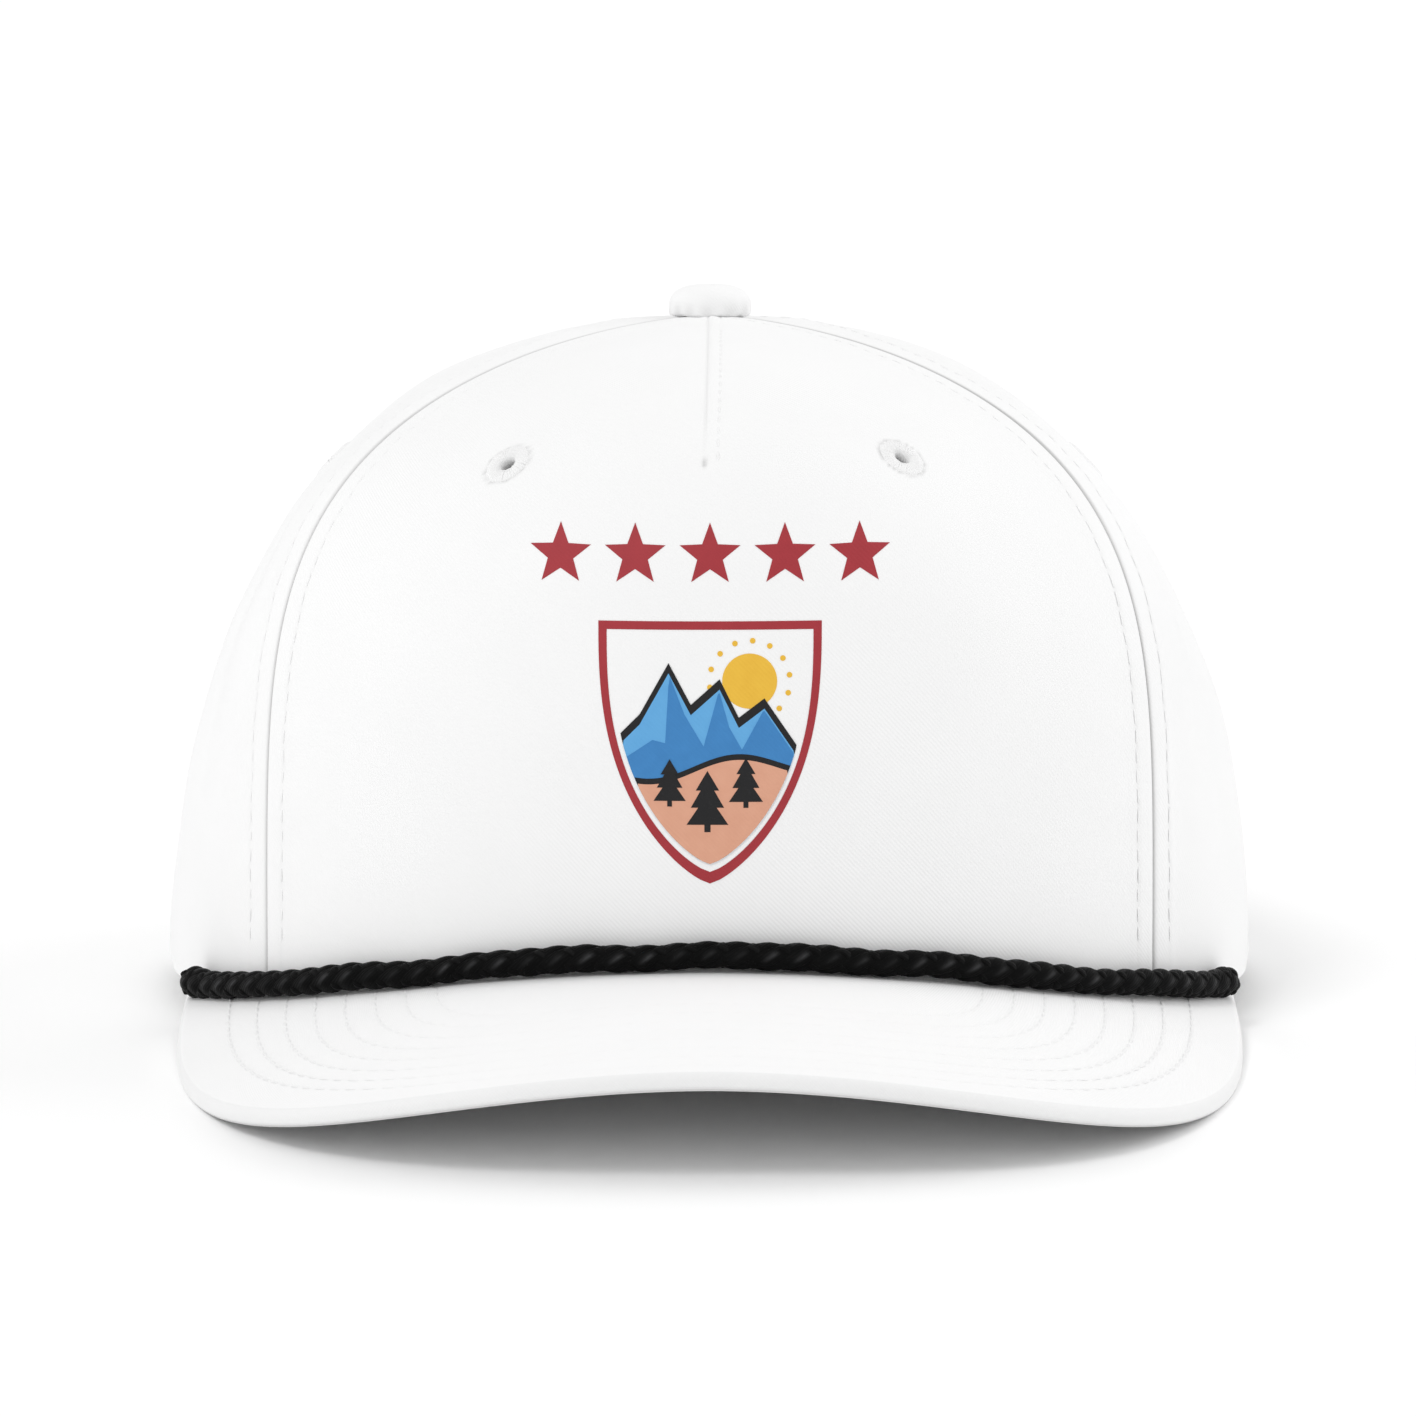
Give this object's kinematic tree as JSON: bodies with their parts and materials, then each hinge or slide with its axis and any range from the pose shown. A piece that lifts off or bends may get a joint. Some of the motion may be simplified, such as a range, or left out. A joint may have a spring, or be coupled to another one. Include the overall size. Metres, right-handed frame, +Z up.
{
  "type": "five-panel cap",
  "caption": "Structured five-panel cap with a curved visor, a braided rope over the visor seam, a covered top button, sewn eyelets and a rear snap strap.",
  "frame": {"origin": "bottom centre of the box of the cap as it stands on a level surface on the two sides of its visor and the two corners of its rear hem", "axes": "+Z up, the visor towards -Y, +X to the right as seen from the front"},
  "size_m": [0.181, 0.2656, 0.1173],
  "materials": {
    "white_twill": "fine cotton twill, matt",
    "white_thread": "sewing thread with a slight sheen",
    "black_braid": "round braided cord, satin strands",
    "sweatband_cloth": "brushed cotton, matt",
    "snap_plastic": "moulded polyethylene, satin"
  },
  "bodies": {
    "root": {"front_panel": "white_twill", "left_side_panel": "white_twill", "right_side_panel": "white_twill", "left_back_panel": "white_twill", "right_back_panel": "white_twill", "visor": "white_twill", "top_button": "white_twill", "rope": "black_braid", "sweatband": "sweatband_cloth", "snap_strap": "snap_plastic", "left_front_eyelet": "white_thread", "right_front_eyelet": "white_thread", "left_side_eyelet": "white_thread", "right_side_eyelet": "white_thread", "left_back_eyelet": "white_thread", "right_back_eyelet": "white_thread"}
  },
  "joints": []
}
